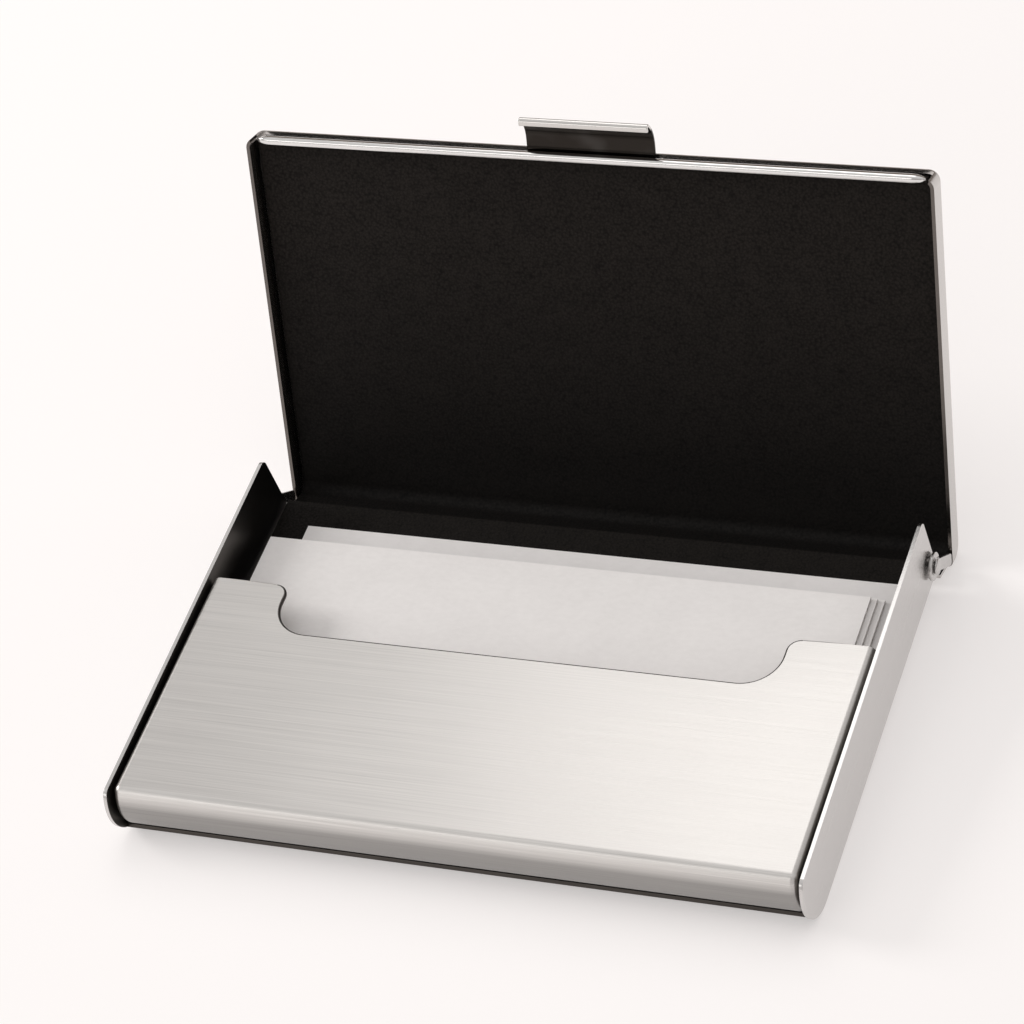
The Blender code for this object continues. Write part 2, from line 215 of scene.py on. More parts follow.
def solid(name, rings):
    """A closed mesh from rings of points, each joined to the next, with capped ends."""
    body = bmesh.new()
    loops = [[body.verts.new(Vector(p) * MM) for p in ring] for ring in rings]
    for lower, upper in zip(loops, loops[1:]):
        for i in range(len(lower)):
            k = (i + 1) % len(lower)
            body.faces.new((lower[i], lower[k], upper[k], upper[i]))
    body.faces.new(loops[0][::-1])
    body.faces.new(loops[-1])
    return linked(name, body)


def across(name, outline, x0, x1):
    """A prism along X from a (y, z) outline."""
    return solid(name, [[(x, y, z) for y, z in outline] for x in (x0, x1)])


def upright(name, outline, z0, z1):
    """A prism along Z from an (x, y) outline."""
    return solid(name, [[(x, y, z) for x, y in outline] for z in (z0, z1)])


def box(name, low, high):
    corners = [(low[0], low[1]), (high[0], low[1]), (high[0], high[1]), (low[0], high[1])]
    return upright(name, corners, low[2], high[2])


def turned(name, profile, y, z, sides=48):
    """A body turned about a line along X, from (x, radius) steps."""
    angles = [2 * math.pi * i / sides for i in range(sides)]
    return solid(name, [[(x, y + r * math.cos(a), z + r * math.sin(a)) for a in angles] for x, r in profile])


def combine(target, other, operation):
    """Joins the other body to the target, or cuts it out, when the target is baked."""
    step = target.modifiers.new(other.name, "BOOLEAN")
    step.operation = operation
    step.solver = "EXACT"
    step.object = other


def bake(target):
    """Applies the modifiers and removes their helper bodies."""
    graph = bpy.context.evaluated_depsgraph_get()
    mesh = bpy.data.meshes.new_from_object(target.evaluated_get(graph))
    helpers = [m.object for m in target.modifiers if m.type == "BOOLEAN"]
    target.modifiers.clear()
    target.data = mesh
    for helper in helpers:
        bpy.data.objects.remove(helper)


def round_edges(target, chosen, radius, segments):
    """Rounds the edges for which chosen(first point, second point) is true, in millimetres."""
    body = bmesh.new()
    body.from_mesh(target.data)
    edges = [e for e in body.edges if chosen(*(v.co / MM for v in e.verts))]
    width = radius * MM
    bmesh.ops.bevel(
        body, geom=edges, offset=width, segments=segments, affect="EDGES", profile=0.5, clamp_overlap=True
    )
    body.to_mesh(target.data)
    body.free()


def soften(target, width):
    """Small rounded edges, as deburred sheet has."""
    step = target.modifiers.new("softened_edges", "BEVEL")
    step.width = width * MM
    step.segments = 3
    step.limit_method = "ANGLE"
    step.angle_limit = math.radians(32)
    step.use_clamp_overlap = True
    bake(target)


def smooth(target, angle=30):
    """Smooth shading with flat faces kept flat."""
    target.data.shade_smooth()
    target.data.set_sharp_from_angle(angle=math.radians(angle))
    step = target.modifiers.new("even_normals", "WEIGHTED_NORMAL")
    step.keep_sharp = True
    step.weight = 100


def place(target, finish, body, nodes):
    """Gives a piece its material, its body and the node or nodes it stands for."""
    target.data.materials.clear()
    target.data.materials.append(finish)
    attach(target, body)
    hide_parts(*([nodes] if isinstance(nodes, str) else nodes))


# Materials

class Finish:
    """A node material around one Principled shader, in the object's own coordinates."""

    def __init__(self, name, **sockets):
        self.material = bpy.data.materials.new(name)
        self.material.use_nodes = True
        self.tree = self.material.node_tree
        self.shader = self.tree.nodes["Principled BSDF"]
        for socket, value in sockets.items():
            self.shader.inputs[socket.replace("_", " ")].default_value = value
        self.coords = self.add("ShaderNodeTexCoord").outputs["Object"]

    def add(self, kind, **settings):
        node = self.tree.nodes.new(kind)
        for key, value in settings.items():
            setattr(node, key, value)
        return node

    def link(self, source, target):
        self.tree.links.new(source, target)

    def scaled(self, scale):
        node = self.add("ShaderNodeMapping")
        node.inputs["Scale"].default_value = scale
        self.link(self.coords, node.inputs["Vector"])
        return node.outputs["Vector"]

    def noise(self, scale, detail=3.0, rough=0.55):
        node = self.add("ShaderNodeTexNoise")
        node.inputs["Scale"].default_value = 1.0
        node.inputs["Detail"].default_value = detail
        node.inputs["Roughness"].default_value = rough
        self.link(self.scaled(scale), node.inputs["Vector"])
        return node.outputs["Fac"]

    def cells(self, scale, smoothness=0.6):
        node = self.add("ShaderNodeTexVoronoi", feature="SMOOTH_F1")
        node.inputs["Scale"].default_value = 1.0
        node.inputs["Smoothness"].default_value = smoothness
        self.link(self.scaled(scale), node.inputs["Vector"])
        return node.outputs["Distance"]

    def ramp(self, source, stops):
        """Turns a grey value into the colours of the stops."""
        node = self.add("ShaderNodeValToRGB")
        elements = node.color_ramp.elements
        for _ in range(len(stops) - 2):
            elements.new(0.5)
        for element, (position, colour) in zip(elements, stops):
            element.position = position
            element.color = (*colour, 1.0)
        self.link(source, node.inputs["Fac"])
        return node.outputs["Color"]

    def span(self, source, low, high, start=0.25, stop=0.75):
        """Maps a grey value from start..stop to low..high."""
        node = self.add("ShaderNodeMapRange")
        node.inputs["From Min"].default_value = start
        node.inputs["From Max"].default_value = stop
        node.inputs["To Min"].default_value = low
        node.inputs["To Max"].default_value = high
        self.link(source, node.inputs["Value"])
        return node.outputs["Result"]

    def sum(self, first, second, weight):
        node = self.add("ShaderNodeMath", operation="MULTIPLY_ADD")
        node.inputs[1].default_value = weight
        self.link(second, node.inputs[0])
        self.link(first, node.inputs[2])
        return node.outputs["Value"]

    def shaded(self, colour, low, high, start, stop):
        """The colour times a factor that runs from low to high between two heights on the piece: painted
        shade and light.
        """
        split = self.add("ShaderNodeSeparateXYZ")
        self.link(self.coords, split.inputs["Vector"])
        node = self.add("ShaderNodeVectorMath", operation="SCALE")
        self.link(colour, node.inputs[0])
        self.link(self.span(split.outputs["Z"], low, high, start, stop), node.inputs["Scale"])
        return node.outputs["Vector"]

    def bump(self, height, strength, distance):
        node = self.add("ShaderNodeBump")
        node.inputs["Strength"].default_value = strength
        node.inputs["Distance"].default_value = distance
        self.link(height, node.inputs["Height"])
        self.link(node.outputs["Normal"], self.shader.inputs["Normal"])

    def grain_along(self, axis):
        """Lets the gloss spread across the brushing, which runs along the axis."""
        node = self.add("ShaderNodeTangent", direction_type="RADIAL", axis=axis)
        self.link(node.outputs["Tangent"], self.shader.inputs["Tangent"])


def brushed(name, along, base, contrast, rough, spread, anisotropy, depth, shade=None):
    """Brushed or satin steel: long fine streaks along an axis, in colour, gloss and relief, and painted shade
    by height when shade is given.
    """
    made = Finish(name, Metallic=1.0, Anisotropic=anisotropy)
    fine = tuple(45.0 if a == along else 7500.0 for a in "XYZ")
    broad = tuple(28.0 if a == along else 4000.0 for a in "XYZ")
    cloud = made.noise((38.0, 38.0, 38.0), 2.0)
    streak = made.noise(fine, 4.0, 0.65)
    band = made.noise(broad, 3.0, 0.6)
    mixed = made.sum(streak, band, 0.8)
    tone = made.sum(mixed, cloud, 0.25)
    dark = tuple(c * (1 - contrast) for c in base)
    light = tuple(min(c * (1 + contrast), 1.0) for c in base)
    colour = made.ramp(made.span(tone, 0.0, 1.0, 0.70, 1.35), [(0.0, dark), (1.0, light)])
    if shade:
        colour = made.shaded(colour, *shade)
    made.link(colour, made.shader.inputs["Base Color"])
    made.link(made.span(mixed, rough - spread, rough + spread, 0.62, 1.18), made.shader.inputs["Roughness"])
    made.bump(mixed, depth, 0.00002)
    made.grain_along(along)
    return made.material


def polished(name, base, rough):
    """Polished steel with faint drawing marks and smudges."""
    made = Finish(name, Metallic=1.0)
    marks = made.noise((60.0, 3200.0, 3200.0), 3.0)
    smudge = made.noise((220.0, 220.0, 220.0), 3.0)
    dark = tuple(c * 0.93 for c in base)
    colour = made.ramp(smudge, [(0.3, dark), (0.7, base)])
    made.link(colour, made.shader.inputs["Base Color"])
    mixed = made.sum(marks, smudge, 0.6)
    made.link(made.span(mixed, rough * 0.75, rough * 1.35, 0.5, 1.1), made.shader.inputs["Roughness"])
    made.bump(marks, 0.03, 0.00002)
    return made.material


def hollow_shaded_steel(name, hollow, hem, low, high, rough):
    """Steel with painted shade in the tab's hollow and a painted highlight on its folded hem, higher up."""
    made = Finish(name, Metallic=1.0)
    split = made.add("ShaderNodeSeparateXYZ")
    made.link(made.coords, split.inputs["Vector"])
    marks = made.noise((60.0, 5200.0, 5200.0), 3.0)
    cloud = made.noise((160.0, 160.0, 160.0), 2.0)
    rise = made.span(split.outputs["Z"], 0.0, 1.0, low, high)
    tone = made.sum(rise, made.span(cloud, -0.05, 0.05), 1.0)
    made.link(made.ramp(tone, [(0.0, hollow), (1.0, hem)]), made.shader.inputs["Base Color"])
    made.link(made.span(marks, rough * 0.8, rough * 1.3), made.shader.inputs["Roughness"])
    made.bump(marks, 0.02, 0.00002)
    return made.material


def leather(name, pebble, strength, shade):
    """Black leather: fine pebbles between soft creases, slightly brown, nearly matt, with painted shade and
    light by height.
    """
    made = Finish(name)
    made.shader.inputs["Specular IOR Level"].default_value = 0.14
    warp = made.add("ShaderNodeTexNoise")
    warp.inputs["Scale"].default_value = pebble * 0.4
    made.link(made.coords, warp.inputs["Vector"])
    shift = made.add("ShaderNodeVectorMath", operation="SCALE")
    shift.inputs["Scale"].default_value = 0.35 / pebble
    made.link(warp.outputs["Color"], shift.inputs[0])
    moved = made.add("ShaderNodeVectorMath", operation="ADD")
    made.link(made.coords, moved.inputs[0])
    made.link(shift.outputs["Vector"], moved.inputs[1])
    plain = made.coords
    made.coords = moved.outputs["Vector"]
    pebbles = made.cells((pebble, pebble, pebble))
    made.coords = plain
    pores = made.noise((pebble * 2.6,) * 3, 3.0)
    folds = made.noise((pebble * 0.12,) * 3, 2.0)
    height = made.sum(made.sum(pores, pebbles, -1.1), folds, 0.5)
    colour = made.ramp(made.span(height, 0.0, 1.0, -0.3, 0.7), [(0.0, LEATHER_DEEP), (1.0, LEATHER_TOP)])
    made.link(made.shaded(colour, *shade), made.shader.inputs["Base Color"])
    made.link(made.span(height, 0.82, 0.62, -0.3, 0.7), made.shader.inputs["Roughness"])
    made.bump(height, strength, 0.00008)
    return made.material


def card_stock(name, low, high):
    """Uncoated white card with a faint fibre mottling."""
    made = Finish(name)
    made.shader.inputs["Specular IOR Level"].default_value = 0.25
    fibre = made.noise((900.0, 1500.0, 1500.0), 4.0, 0.65)
    cloud = made.noise((170.0, 170.0, 170.0), 3.0)
    mixed = made.sum(fibre, cloud, 0.7)
    colour = made.ramp(made.span(mixed, 0.0, 1.0, 0.55, 1.15), [(0.0, low), (1.0, high)])
    made.link(colour, made.shader.inputs["Base Color"])
    made.link(made.span(mixed, 0.72, 0.86, 0.55, 1.15), made.shader.inputs["Roughness"])
    made.bump(fibre, 0.12, 0.00003)
    return made.material


LEATHER_DEEP = (0.0020, 0.0016, 0.0013)
LEATHER_TOP = (0.0080, 0.0064, 0.0053)

# Painted shade and light: a low and a high colour factor, and the heights in metres between which one runs
# into the other
NOSE_PAINTED_SHADE = (0.50, 1.0, 0.0077, 0.0092)
LINING_PAINTED_SHADE = (0.8, 2.2, 0.004, 0.038)
STRIP_PAINTED_LIGHT = (1.4, 1.6, 0.0, 0.003)

# The pocket plate: painted shade darkens its steel below the crease, most on its round front.
PLATE_STEEL = brushed("plate_steel", "X", (0.67, 0.65, 0.63), 0.12, 0.36, 0.06, 0.6, 0.08, NOSE_PAINTED_SHADE)
BASE_STEEL = brushed("base_steel", "Y", (0.63, 0.615, 0.605), 0.02, 0.26, 0.02, 0.0, 0.01)
# Painted dark reflection: a dark copy of the base steel for the walls' inner faces.
INNER_SHADE_STEEL = brushed("inner_shade_steel", "Y", (0.15, 0.14, 0.13), 0.03, 0.34, 0.02, 0.0, 0.01)
LID_STEEL = brushed("lid_steel", "X", (0.57, 0.55, 0.535), 0.03, 0.19, 0.03, 0.2, 0.02)
# The thumb catch: painted shade in its hollow and a painted highlight on its hem.
CATCH_STEEL = hollow_shaded_steel("catch_steel", (0.028, 0.024, 0.021), (0.66, 0.64, 0.62), 0.0536, 0.0542, 0.14)
BRIGHT_STEEL = polished("bright_steel", (0.78, 0.77, 0.76), 0.13)
HINGE_STEEL = polished("hinge_steel", (0.60, 0.585, 0.575), 0.24)
# Painted shade: near-black steel for the base's curled front lip.
LIP_SHADE_STEEL = polished("lip_shade_steel", (0.050, 0.044, 0.040), 0.3)
# Painted shadow: dark steel for the rounded rim round the finger notch.
RIM_SHADOW_STEEL = polished("rim_shadow_steel", (0.10, 0.09, 0.085), 0.3)
# Painted shade: dark steel for the lid flanges' foot edges.
EDGE_SHADE_STEEL = polished("edge_shade_steel", (0.15, 0.135, 0.125), 0.2)
# The lid's lining: painted shade low down and painted light higher up.
LINING_LEATHER = leather("lining_leather", 2700.0, 0.5, LINING_PAINTED_SHADE)
# The floor lining: a lighter copy of the same leather, painted light.
STRIP_LEATHER = leather("strip_leather", 3000.0, 0.3, STRIP_PAINTED_LIGHT)
CARD_PAPER = card_stock("card_paper", (0.86, 0.83, 0.815), (0.92, 0.89, 0.875))
# Painted shade: a darker copy of the card stock for the rear card.
REAR_SHADED_PAPER = card_stock("rear_shaded_paper", (0.77, 0.745, 0.735), (0.82, 0.795, 0.785))


# Base

def wall_height(y):
    share = (y - FRONT) / (BACK - FRONT)
    return WALL_FRONT_HEIGHT + (WALL_BACK_HEIGHT - WALL_FRONT_HEIGHT) * share


def wall_outline():
    """Side view of a base wall: a round nose, a rising top edge and a leaning back end."""
    rise = math.degrees(math.asin((WALL_FRONT_HEIGHT - NOSE_Z) / NOSE_RADIUS))
    nose = arc(NOSE_Y, NOSE_Z, NOSE_RADIUS, 270, 188 - rise, 40)
    nose += arc(NOSE_Y, NOSE_Z, NOSE_RADIUS, 180 - rise, 180 - rise, 1)[:1]
    peak = BACK - WALL_BACK_LEAN
    points = nose + [(peak, wall_height(peak)), (BACK, 0.0)]
    return fillet(points, {len(nose) - 1: WALL_CORNER, len(nose): WALL_PEAK})


def make_base():
    curl = arc(NOSE_Y, NOSE_Z, NOSE_RADIUS, 270 - LIP_SWEEP_DEG, 270, 28)
    path = curl + [(BACK, 0.0)]
    shell = across("base_body", offset_sheet(path[::-1], SHEET), -INSIDE - 0.2, INSIDE + 0.2)
    for side in (-1, 1):
        combine(shell, across(f"wall_{side}", wall_outline(), side * INSIDE, side * HALF), "UNION")
    bake(shell)
    soften(shell, SHEET_ROUND)
    smooth(shell)
    place(shell, BASE_STEEL, "base", "base_shell")
    shell.data.materials.append(INNER_SHADE_STEEL)
    shell.data.materials.append(LIP_SHADE_STEEL)
    for face in shell.data.polygons:
        x, y = face.center.xy / MM
        # Painted dark reflection on the walls' inner faces.
        if abs(abs(x) - INSIDE) < 0.05 and face.normal.x * x < -0.9 * INSIDE:
            face.material_index = 1
        # Painted shade on the curled front lip.
        elif abs(x) < INSIDE and y < LIP_SHADE_FROM:
            face.material_index = 2


# Pocket plate

def plate_side(inset, top, back, foot):
    """Side view of the pocket plate's body: flat top, a rounded crease, then a round front."""
    radius = PLATE_NOSE_RADIUS - inset
    crease = PLATE_CREASE - inset
    rise = top - crease - NOSE_Z
    run = math.sqrt((radius - crease) ** 2 - rise ** 2)
    meet = 180 - math.degrees(math.atan2(rise, run))
    low = math.degrees(math.asin(min((NOSE_Z - foot) / radius, 0.96)))
    front = arc(NOSE_Y - run, NOSE_Z + rise, crease, 90, meet, 14)
    front += arc(NOSE_Y, NOSE_Z, radius, meet, 180 + low, 60)[1:]
    if front[-1][1] > foot + 0.01:
        front.append((front[-1][0], foot))
    return [(back, foot), (back, top)] + front


def notch_outline():
    """Plan of the finger notch, from past the plate's back edge to its flat foot."""
    foot = PLATE_BACK_Y - NOTCH_DEPTH
    far = PLATE_BACK_Y + 3.0
    wide = NOTCH_HALF + NOTCH_TOP_RADIUS
    shoulder = arc(wide, PLATE_BACK_Y - NOTCH_TOP_RADIUS, NOTCH_TOP_RADIUS, 90, 180, 20)
    hollow = arc(NOTCH_HALF - NOTCH_FOOT_RADIUS, foot + NOTCH_FOOT_RADIUS, NOTCH_FOOT_RADIUS, 0, -90, 28)
    right = [(wide, far)] + shoulder + hollow
    return right + [(-x, y) for x, y in right[::-1]]


def plate_body(name, inset, back, foot):
    """The plate's outer form, or the room inside it, with rounded side bends."""
    half = PLATE_HALF - inset
    made = across(name, plate_side(inset, PLATE_TOP - inset, back, foot), -half, half)

    def side_bend(a, b):
        on_side = abs(abs(a.x) - half) < 0.01 and abs(a.x - b.x) < 0.01
        above_foot = max(a.z, b.z) > foot + 0.01
        return on_side and above_foot and min(a.y, b.y) < back - 0.01

    round_edges(made, side_bend, PLATE_SIDE_BEND - inset, 10)
    return made


def make_plate():
    plate = plate_body("pocket_front", 0.0, PLATE_BACK_Y, PLATE_FOOT)
    combine(plate, plate_body("pocket_room", SHEET, PLATE_BACK_Y + 2.0, PLATE_FOOT - 1.0), "DIFFERENCE")
    combine(plate, upright("finger_notch", notch_outline(), PLATE_TOP - 2.0, PLATE_TOP + 2.0), "DIFFERENCE")
    bake(plate)
    wide = NOTCH_HALF + NOTCH_TOP_RADIUS + 0.05
    foot = PLATE_BACK_Y - NOTCH_DEPTH

    def notch_rim(a, b):
        on_top = min(a.z, b.z) > PLATE_TOP - 0.01 and max(abs(a.x), abs(b.x)) < wide
        return on_top and foot - 0.1 < min(a.y, b.y) < PLATE_BACK_Y - 0.001

    round_edges(plate, notch_rim, NOTCH_RIM_ROUND, 4)
    soften(plate, PLATE_ROUND)
    smooth(plate)
    place(plate, PLATE_STEEL, "base", "pocket_plate")
    plate.data.materials.append(RIM_SHADOW_STEEL)
    # Painted shadow: the rim faces round the notch take the dark steel, a thin dark line along its edge.
    for face in plate.data.polygons:
        x, y, z = face.center / MM
        in_notch = abs(x) < wide and y > foot - 0.4
        if in_notch and PLATE_TOP - 0.55 < z < PLATE_TOP - 0.002 and abs(face.normal.z) < 0.995:
            face.material_index = 1


# Hinge

def make_pins():
    foot = HALF + GAP
    head = LINK_OUTER + GAP
    dome = [(math.cos(math.radians(a)), math.sin(math.radians(a))) for a in range(0, 91, 10)]
    for name, node, side in (("pin_left", "hinge_pin_left", -1), ("pin_right", "hinge_pin_right", 1)):
        profile = [(side * (head + PIN_HEAD_THICK * c), PIN_HEAD_RADIUS * (0.45 + 0.55 * s)) for c, s in dome]
        profile += [(side * head, PIN_RADIUS), (side * foot, PIN_RADIUS)]
        pin = turned(name, profile, PIN_Y, PIN_Z)
        smooth(pin)
        place(pin, HINGE_STEEL, "base", node)


def link_outline():
    """Side view of a hinge link: an eye round the pin and a leaning neck up to the lid's flange."""
    lean = math.degrees(math.atan2(LINK_TOP - PIN_Z, LID_BACK_Y - 1.4 - PIN_Y))
    half = math.degrees(math.asin(LINK_NECK / 2 / LINK_EYE_RADIUS))
    eye = arc(PIN_Y, PIN_Z, LINK_EYE_RADIUS, lean - half, lean + half - 360, 60)
    slope = 1 / math.tan(math.radians(lean))
    neck = [(y + (LINK_TOP - z) * slope, LINK_TOP) for y, z in (eye[-1], eye[0])]
    return fillet(eye + neck, {len(eye): LINK_CORNER, len(eye) + 1: LINK_CORNER})


def make_links():
    for name, node, side in (("link_left", "hinge_link_left", -1), ("link_right", "hinge_link_right", 1)):
        link = across(name, link_outline(), side * LINK_INNER, side * LINK_OUTER)
        ends = [(side * (LINK_INNER - 1.0), LINK_BORE), (side * (LINK_OUTER + 1.0), LINK_BORE)]
        combine(link, turned(f"bore_{side}", ends, PIN_Y, PIN_Z), "DIFFERENCE")
        bake(link)
        soften(link, LINK_ROUND)
        link.data.transform(LID_OPEN)
        smooth(link)
        place(link, HINGE_STEEL, "lid", node)


# Lid

def lid_side(inset, front, top, back, foot):
    """Side view of the closed lid's body, with the round back edge over the hinge."""
    radius = LID_BACK_RADIUS - inset
    curve = arc(back - radius, top - radius, radius, 90, 0, 24)
    return [(front, foot), (front, top)] + curve + [(back, foot)]


def make_lid():
    foot = LID_TOP - LID_FLANGE
    shell = across("lid_body", lid_side(0.0, LID_FRONT_Y, LID_TOP, LID_BACK_Y, foot), -LID_HALF, LID_HALF)
    corner_y = LID_FRONT_Y + LID_CORNER + 0.01

    def front_corner(a, b):
        return max(a.y, b.y) < LID_FRONT_Y + SHEET + 0.01 and abs(a.z - b.z) > 1.0

    def outer_edge(a, b):
        on_side = abs(abs(a.x) - LID_HALF) < 0.01 and abs(a.x - b.x) < 0.01
        above_foot = max(a.z, b.z) > foot + 0.01
        in_corner = max(a.y, b.y) < corner_y
        front_top = min(a.z, b.z) > LID_TOP - 0.01 and in_corner
        return front_top or (on_side and above_foot and not in_corner)

    round_edges(shell, front_corner, LID_CORNER, 12)
    round_edges(shell, outer_edge, LID_EDGE, 7)
    inner = lid_side(SHEET, LID_FRONT_Y + SHEET, LID_TOP - SHEET, LID_BACK_Y - SHEET, foot - 2.0)
    room = across("lid_room", inner, -LID_INSIDE, LID_INSIDE)
    round_edges(room, front_corner, LID_CORNER - SHEET, 12)
    combine(shell, room, "DIFFERENCE")
    low = (-LID_INSIDE + 0.2, LID_FRONT_Y - 1.0, foot - 1.0)
    high = (LID_INSIDE - 0.2, LID_FRONT_Y + 0.8, LID_TOP - LID_STRIP)
    combine(shell, box("front_mouth", low, high), "DIFFERENCE")
    spine = box("spine", (-SPINE_HALF, LID_BACK_Y - SHEET, SPINE_FOOT), (SPINE_HALF, LID_BACK_Y, foot + 1.0))
    combine(shell, spine, "UNION")
    bake(shell)
    soften(shell, SHEET_ROUND)
    downward = [f for f in shell.data.polygons if f.normal.z < -0.6]
    feet = [f.index for f in downward if abs(f.center.z / MM - foot) < 0.15]
    shell.data.transform(LID_OPEN)
    smooth(shell)
    place(shell, LID_STEEL, "lid", "lid_shell")
    # Painted shade: the flanges' foot faces take the dark steel.
    shell.data.materials.append(EDGE_SHADE_STEEL)
    for index in feet:
        shell.data.polygons[index].material_index = 1


def make_rail():
    """Rounded rail along the lid's front edge, with tapered ends."""
    half = LID_INSIDE - 0.9
    y = LID_FRONT_Y + RAIL_DEPTH / 2
    z = RAIL_TOP - RAIL_HEIGHT / 2
    angles = [math.radians(a) for a in (8, 16, 25, 34, 44, 54, 64, 74, 82, 90)]
    tapers = [half - RAIL_TAPER * (1 - math.cos(a)) for a in angles]
    scales = [math.sqrt(max(1 - ((x - half + RAIL_TAPER) / RAIL_TAPER) ** 2, 0.06)) for x in tapers]
    stations = [(-x, s) for x, s in zip(tapers, scales)]
    stations += [(x, s) for x, s in zip(tapers[::-1], scales[::-1])]
    rings = []
    for x, scale in stations:
        ring = []
        for i in range(48):
            a = 2 * math.pi * i / 48
            bulge = (abs(math.cos(a)) ** 3 + abs(math.sin(a)) ** 3) ** (-1 / 3) * scale
            out = bulge * math.cos(a) * RAIL_DEPTH / 2
            rise = bulge * math.sin(a) * RAIL_HEIGHT / 2
            ring.append((x, y + out, z + rise))
        rings.append(ring)
    rail = solid("rail_bar", rings)
    rail.data.transform(LID_OPEN)
    smooth(rail, 40)
    place(rail, BRIGHT_STEEL, "lid", "front_rail")


def make_catch():
    """Sprung thumb catch: a curved tab from the lid's groove with a folded hem."""
    bend_y = LID_FRONT_Y - CATCH_REACH
    bend = arc(bend_y, CATCH_TOP - CATCH_BEND_RADIUS, CATCH_BEND_RADIUS, 90, 90 + CATCH_BEND_DEG, 28)
    end = Vector(bend[-1])
    away = math.radians(180 + CATCH_BEND_DEG)
    along = Vector((math.cos(away), math.sin(away)))
    tip = end + along * 0.4
    back = math.radians(CATCH_BEND_DEG - CATCH_HEM_DEG)
    hem = Vector((math.cos(back), math.sin(back)))
    fold_centre = tip + Vector((along.y, -along.x)) * -(CATCH_SHEET + 0.12)
    first = tip - fold_centre
    turn = math.radians(180 - CATCH_HEM_DEG)
    fold = []
    for i in range(17):
        spun = first.copy()
        spun.rotate(Matrix.Rotation(turn * i / 16, 2))
        fold.append(tuple(fold_centre + spun))
    lip = Vector(fold[-1]) + hem * CATCH_HEM
    path = [(CATCH_ROOT_Y, CATCH_TOP), (bend_y + 0.4, CATCH_TOP)] + bend + fold + [tuple(lip)]
    left = CATCH_SHIFT - CATCH_WIDTH / 2
    tab = across("catch_tab", offset_sheet(path[::-1], CATCH_SHEET), left, left + CATCH_WIDTH)
    soften(tab, CATCH_ROUND)
    tab.data.transform(LID_OPEN)
    smooth(tab)
    place(tab, CATCH_STEEL, "catch", "thumb_catch")


# Leather

def stations(low, high, step, roll):
    """Places from low to high, close together where the edge rolls over."""
    near = [0.0, 0.05 * roll, 0.16 * roll, 0.34 * roll, 0.62 * roll, roll]
    count = max(int((high - low - 2 * roll) / step), 1)
    middle = [low + roll + (high - low - 2 * roll) * i / count for i in range(1, count)]
    return [low + n for n in near] + middle + [high - n for n in near[::-1]]


def rolled(distance, roll):
    """How far a surface drops at this distance from its rolled edge."""
    if distance >= roll:
        return 0.0
    return roll - math.sqrt(max(roll ** 2 - (roll - distance) ** 2, 0.0))


def grain(x, y, seed):
    """Relief of the leather's pebbles and slow waves, in millimetres."""
    fine = noise.noise(Vector((x * 1.1, y * 1.1, seed)))
    slow = noise.noise(Vector((x * 0.07, y * 0.07, seed + 9.0)))
    return 0.014 * fine + 0.05 * slow


def slab(name, columns, rows, face, rear):
    """A closed body between two grids, through face(column, row) and rear(column, row)."""
    body = bmesh.new()
    layers = [[[body.verts.new(Vector(p(c, r)) * MM) for r in rows] for c in columns] for p in (face, rear)]
    last_c = len(columns) - 1
    last_r = len(rows) - 1
    for verts in layers:
        for i in range(last_c):
            for k in range(last_r):
                body.faces.new((verts[i][k], verts[i + 1][k], verts[i + 1][k + 1], verts[i][k + 1]))
    rim = [(i, 0) for i in range(last_c)] + [(last_c, k) for k in range(last_r)]
    rim += [(i, last_r) for i in range(last_c, 0, -1)] + [(0, k) for k in range(last_r, 0, -1)]
    for (i, k), (m, n) in zip(rim, rim[1:] + rim[:1]):
        body.faces.new((layers[0][i][k], layers[0][m][n], layers[1][m][n], layers[1][i][k]))
    return linked(name, body)


def make_lid_leather():
    """One leather lining over the lid's panel, round the back bend and down the spine."""
    face_z = LID_TOP - SHEET - GAP - LID_LINING_THICK
    inner_y = LID_BACK_Y - SHEET - GAP - SPINE_THICK
    front = LID_FRONT_Y + RAIL_DEPTH + 0.4
    half = LID_INSIDE - GAP
    flat = inner_y - LINING_BEND - front
    bend = LINING_BEND * math.pi / 2
    whole = flat + bend + face_z - LINING_BEND - SPINE_LINING_FOOT

    def course(s):
        """Place, rearward direction and thickness on the lining's side view, s along it from the front."""
        if s <= flat:
            return (front + s, face_z), (0.0, 1.0), LID_LINING_THICK
        if s >= flat + bend:
            return (inner_y, face_z - LINING_BEND - (s - flat - bend)), (1.0, 0.0), SPINE_THICK
        share = (s - flat) / bend
        angle = math.pi / 2 * (1 - share)
        out = (math.cos(angle), math.sin(angle))
        y = inner_y - LINING_BEND + LINING_BEND * out[0]
        z = face_z - LINING_BEND + LINING_BEND * out[1]
        return (y, z), out, LID_LINING_THICK + (SPINE_THICK - LID_LINING_THICK) * share

    def face(x, s):
        (y, z), (out_y, out_z), _ = course(s)
        edge = max(min(half - abs(x), s, whole - s), 0.0)
        fade = min(edge / 1.5, 1.0)
        sink = rolled(edge, LINING_ROLL) + (grain(x, s, 3.0) + 0.04) * fade
        return (x, y + out_y * sink, z + out_z * sink)

    def rear(x, s):
        (y, z), (out_y, out_z), thick = course(s)
        return (x, y + out_y * thick, z + out_z * thick)

    columns = stations(-half, half, LINING_STEP, LINING_ROLL)
    rows = stations(0.0, flat - 0.8, LINING_STEP, LINING_ROLL)[:-6]
    turn_start = flat - 1.6
    turn_stop = whole - LINING_ROLL
    rows += [turn_start + (turn_stop - turn_start) * i / 30 for i in range(30)]
    rows += [whole - n for n in (LINING_ROLL, 0.25, 0.14, 0.06, 0.02, 0.0)]
    lining = slab("lid_leather", columns, rows, face, rear)
    lining.data.transform(LID_OPEN)
    smooth(lining, 60)
    place(lining, LINING_LEATHER, "lid", ("lid_lining", "spine_lining"))


